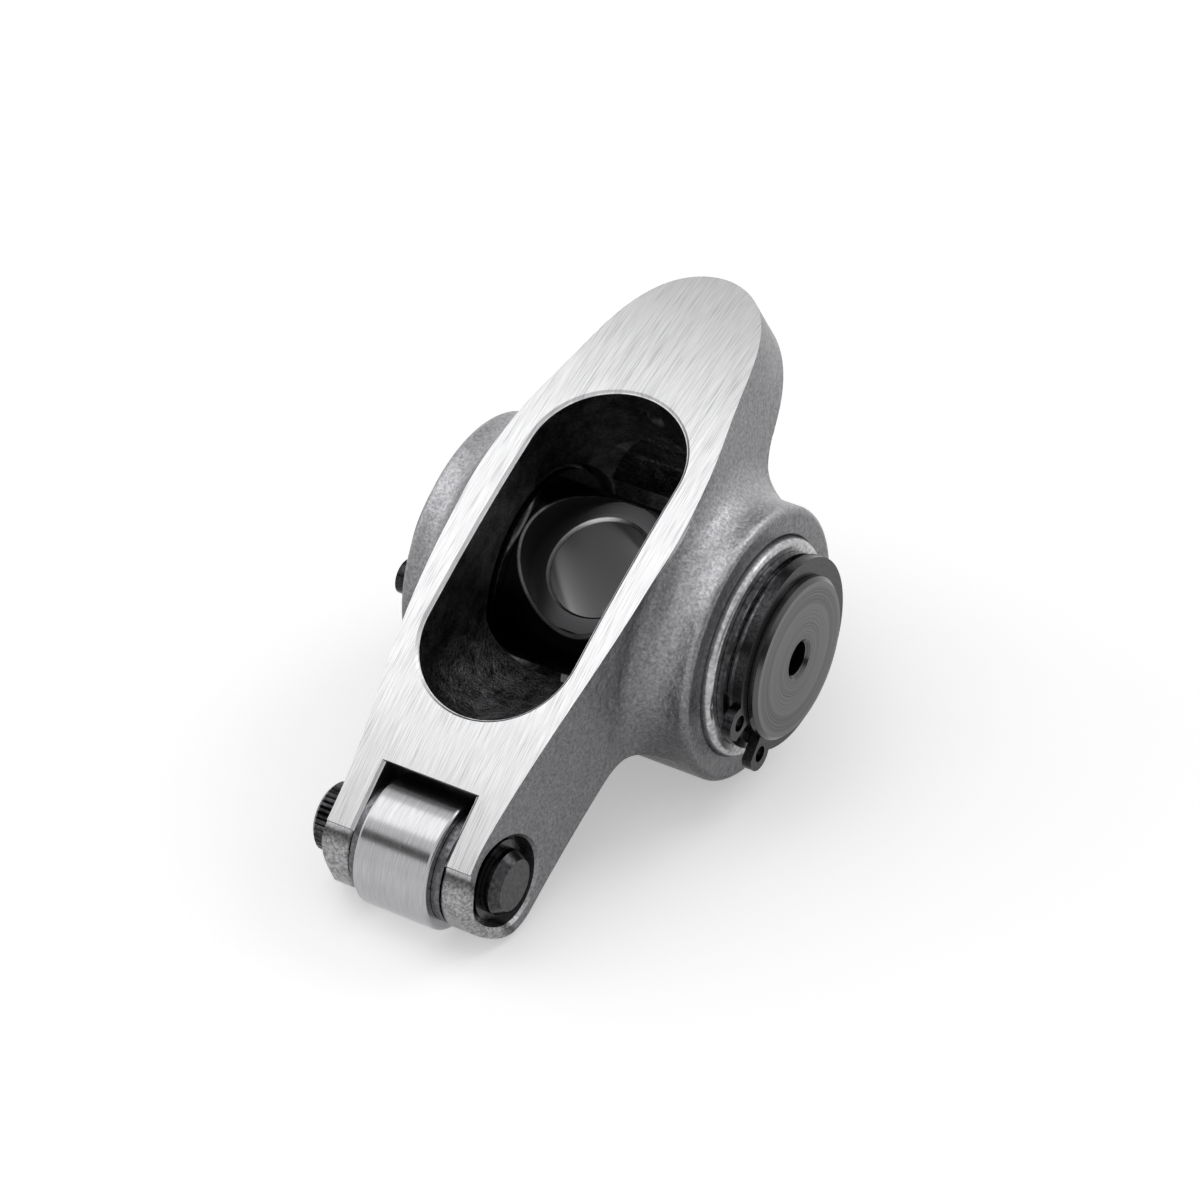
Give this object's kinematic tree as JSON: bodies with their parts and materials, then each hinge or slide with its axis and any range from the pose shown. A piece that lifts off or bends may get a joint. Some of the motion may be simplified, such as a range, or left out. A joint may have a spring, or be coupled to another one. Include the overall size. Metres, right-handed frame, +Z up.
{
  "type": "rocker arm",
  "caption": "Stud-mounted roller rocker arm: a cast arm that rocks on a needle-bearing trunnion, with a pushrod cup and a tip roller.",
  "frame": {"origin": "where the trunnion's axis and the stud bore's axis cross", "axes": "+Y along the trunnion, +X towards the tip roller, +Z up as the arm lies on a flat surface on its two bosses and its roller"},
  "size_m": [0.0727, 0.0432, 0.0415],
  "materials": {
    "casting": "bead-blasted casting, top face ground and brushed along the arm",
    "trunnion_steel": "fine turned steel",
    "shell_steel": "drawn steel, smooth",
    "cage_steel": "pressed steel",
    "needle_steel": "polished hardened steel",
    "washer_steel": "flat hardened steel",
    "spring_steel": "dark oiled spring steel",
    "roller_steel": "ground and polished steel",
    "axle_steel": "dark hardened steel, knurled at one end"
  },
  "bodies": {
    "arm": {"rocker_body": "casting", "right_bearing_shell": "shell_steel", "left_bearing_shell": "shell_steel", "right_tip_washer": "washer_steel", "left_tip_washer": "washer_steel", "tip_axle": "axle_steel", "axle_retaining_ring": "spring_steel"},
    "trunnion": {"trunnion": "trunnion_steel", "right_inner_thrust_washer": "washer_steel", "left_inner_thrust_washer": "washer_steel", "right_outer_thrust_washer": "washer_steel", "right_spacer_washer": "washer_steel", "right_circlip": "spring_steel", "left_circlip": "spring_steel"},
    "right_rollers": {"right_needle_cage": "cage_steel", "right_needles": "needle_steel"},
    "left_rollers": {"left_needle_cage": "cage_steel", "left_needles": "needle_steel"},
    "tip_roller": {"tip_roller": "roller_steel"},
    "tip_needles": {"tip_needles": "needle_steel"}
  },
  "joints": [
    {"name": "trunnion_turn", "type": "hinge", "parent": "arm", "child": "trunnion", "pos_m": [0, 0, 0], "axis": [0, 1, 0], "continuous": true},
    {"name": "right_rollers_turn", "type": "hinge", "parent": "arm", "child": "right_rollers", "pos_m": [0, 0.01392, 0], "axis": [0, 1, 0], "continuous": true},
    {"name": "left_rollers_turn", "type": "hinge", "parent": "arm", "child": "left_rollers", "pos_m": [0, -0.01392, 0], "axis": [0, 1, 0], "continuous": true},
    {"name": "tip_roller_turn", "type": "hinge", "parent": "arm", "child": "tip_roller", "pos_m": [0.03748, 0, -0.00805], "axis": [0, 1, 0], "continuous": true},
    {"name": "tip_needles_turn", "type": "hinge", "parent": "arm", "child": "tip_needles", "pos_m": [0.03748, 0, -0.00805], "axis": [0, 1, 0], "continuous": true}
  ],
  "couplings": [
    {"joint": "right_rollers_turn", "follows": "trunnion_turn", "ratio": 0.45},
    {"joint": "left_rollers_turn", "follows": "trunnion_turn", "ratio": 0.45},
    {"joint": "tip_needles_turn", "follows": "tip_roller_turn", "ratio": 0.5911}
  ]
}
